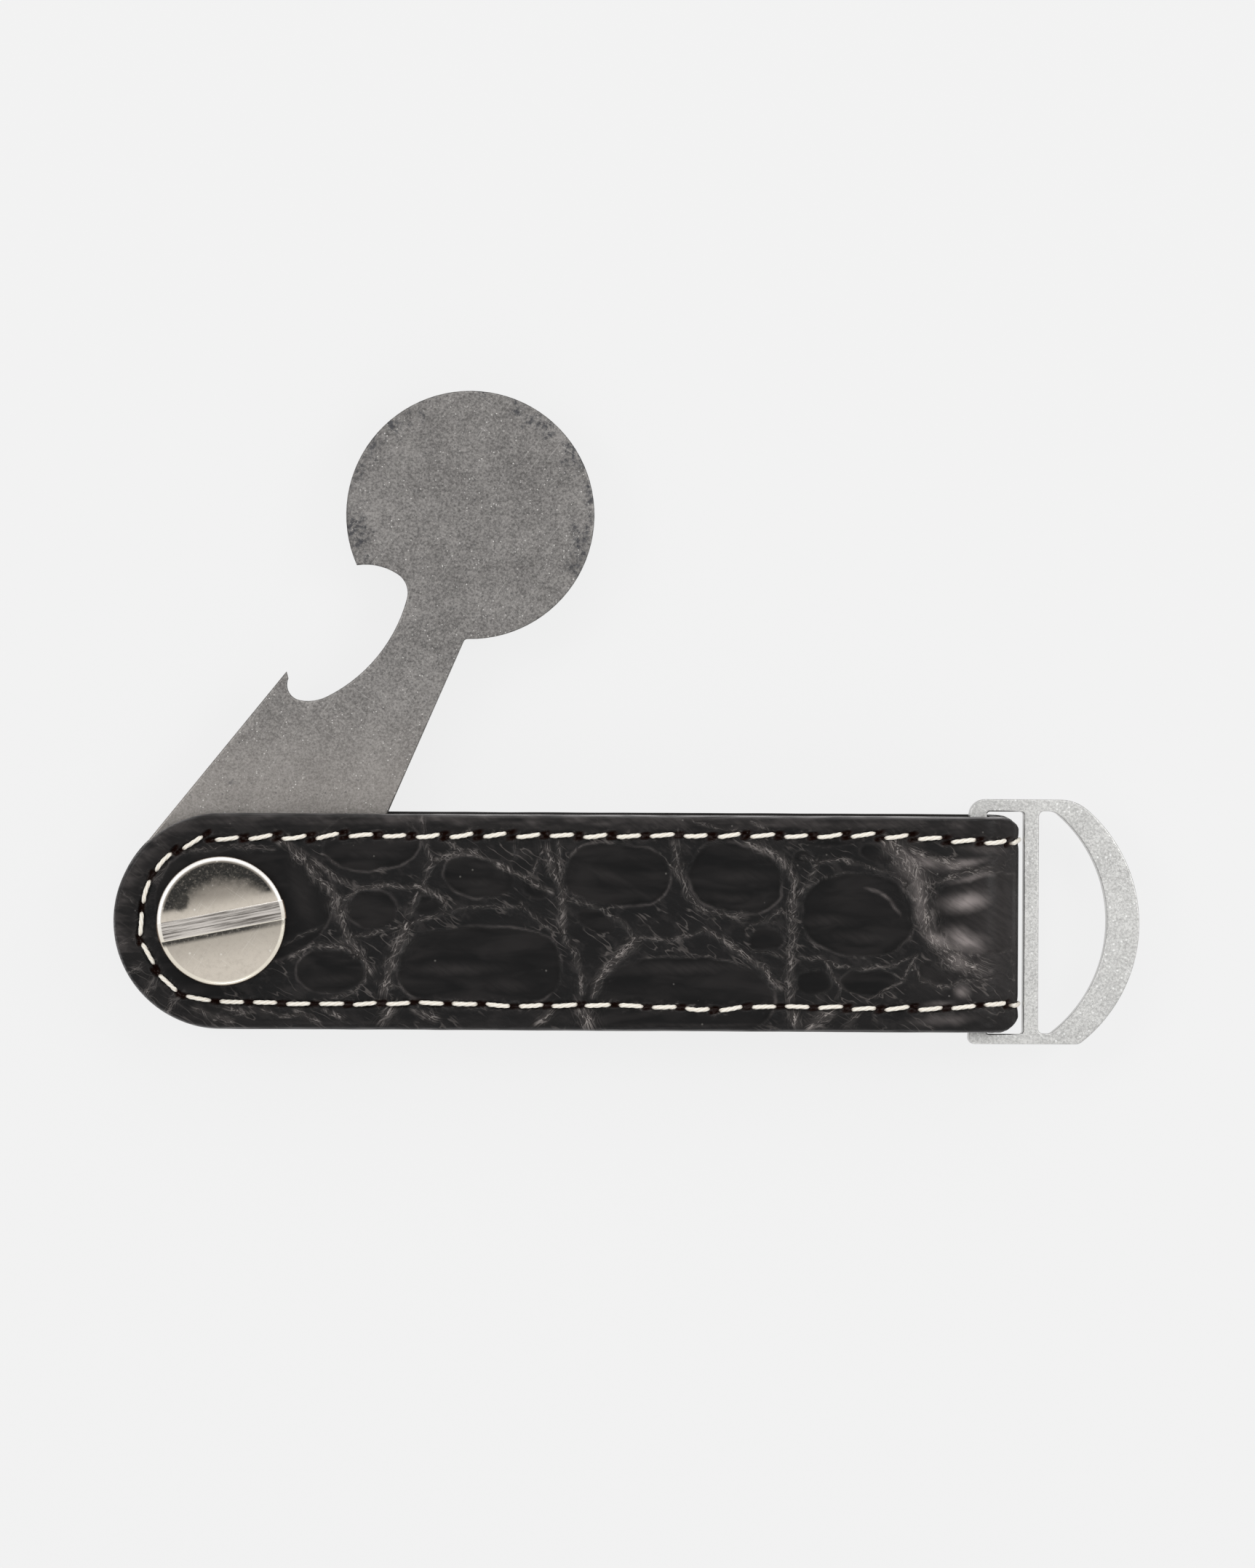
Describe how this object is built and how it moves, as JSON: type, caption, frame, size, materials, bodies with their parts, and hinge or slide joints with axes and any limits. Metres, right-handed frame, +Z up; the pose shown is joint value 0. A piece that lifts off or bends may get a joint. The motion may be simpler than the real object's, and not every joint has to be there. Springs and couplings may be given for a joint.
{
  "type": "key organiser",
  "caption": "Folded leather strap with a slotted pivot screw, a swing-out flat steel tool with a coin-sized token and bottle opener, and a flat D-shaped loop in the fold.",
  "frame": {"origin": "on the pivot axis, in the back face of the post's head, which the organiser lies on", "axes": "+X along the strap from the pivot to the loop, +Y to the side the tool is swung out on, +Z up through the screw's head"},
  "size_m": [0.096, 0.0609, 0.0106],
  "materials": {
    "embossed_leather": "black, embossed with large smooth scales and fine creases between them, semi-gloss, burnished edge",
    "stiffener_sheet": "bonded fibre sheet",
    "lining": "smooth black leather with a fine grain",
    "thread": "cream waxed thread, two plies twisted",
    "polished_nickel": "polished warm nickel with fine rubs, milled slot",
    "fibre": "dark vulcanised fibre",
    "slip_plastic": "natural nylon, matt",
    "tumbled_steel": "dull tumbled stainless steel with fine random scratches and specks",
    "satin_steel": "bead-tumbled satin stainless steel"
  },
  "bodies": {
    "strap": {"outer_leather": "embossed_leather", "stiffener": "stiffener_sheet", "lining_leather": "lining", "seam_outer_thread": "thread", "seam_inner_thread": "thread", "screw_post": "polished_nickel", "rear_washer": "slip_plastic", "front_washer": "slip_plastic"},
    "tool": {"token_opener": "tumbled_steel"},
    "loop": {"d_loop": "satin_steel"},
    "screw_lift": {"head_washer": "fibre"},
    "screw": {"pivot_screw": "polished_nickel"}
  },
  "joints": [
    {"name": "tool_swing", "type": "hinge", "parent": "strap", "child": "tool", "pos_m": [0, 0, 0.00515], "axis": [0, 0, 1], "continuous": true},
    {"name": "loop_swing", "type": "hinge", "parent": "strap", "child": "loop", "pos_m": [0.0707, 0, 0.00515], "axis": [0, 1, 0], "range_deg": [-105.3, 94.7]},
    {"name": "head_lift", "type": "slide", "parent": "strap", "child": "screw_lift", "axis": [0, 0, 1], "range_m": [0, 0.0056]},
    {"name": "screw_turn", "type": "hinge", "parent": "screw_lift", "child": "screw", "pos_m": [0, 0, 0.0092], "axis": [0, 0, 1], "range_deg": [0, 2881]}
  ],
  "couplings": [
    {"joint": "screw_turn", "follows": "head_lift", "rad_per_m": 8976}
  ]
}
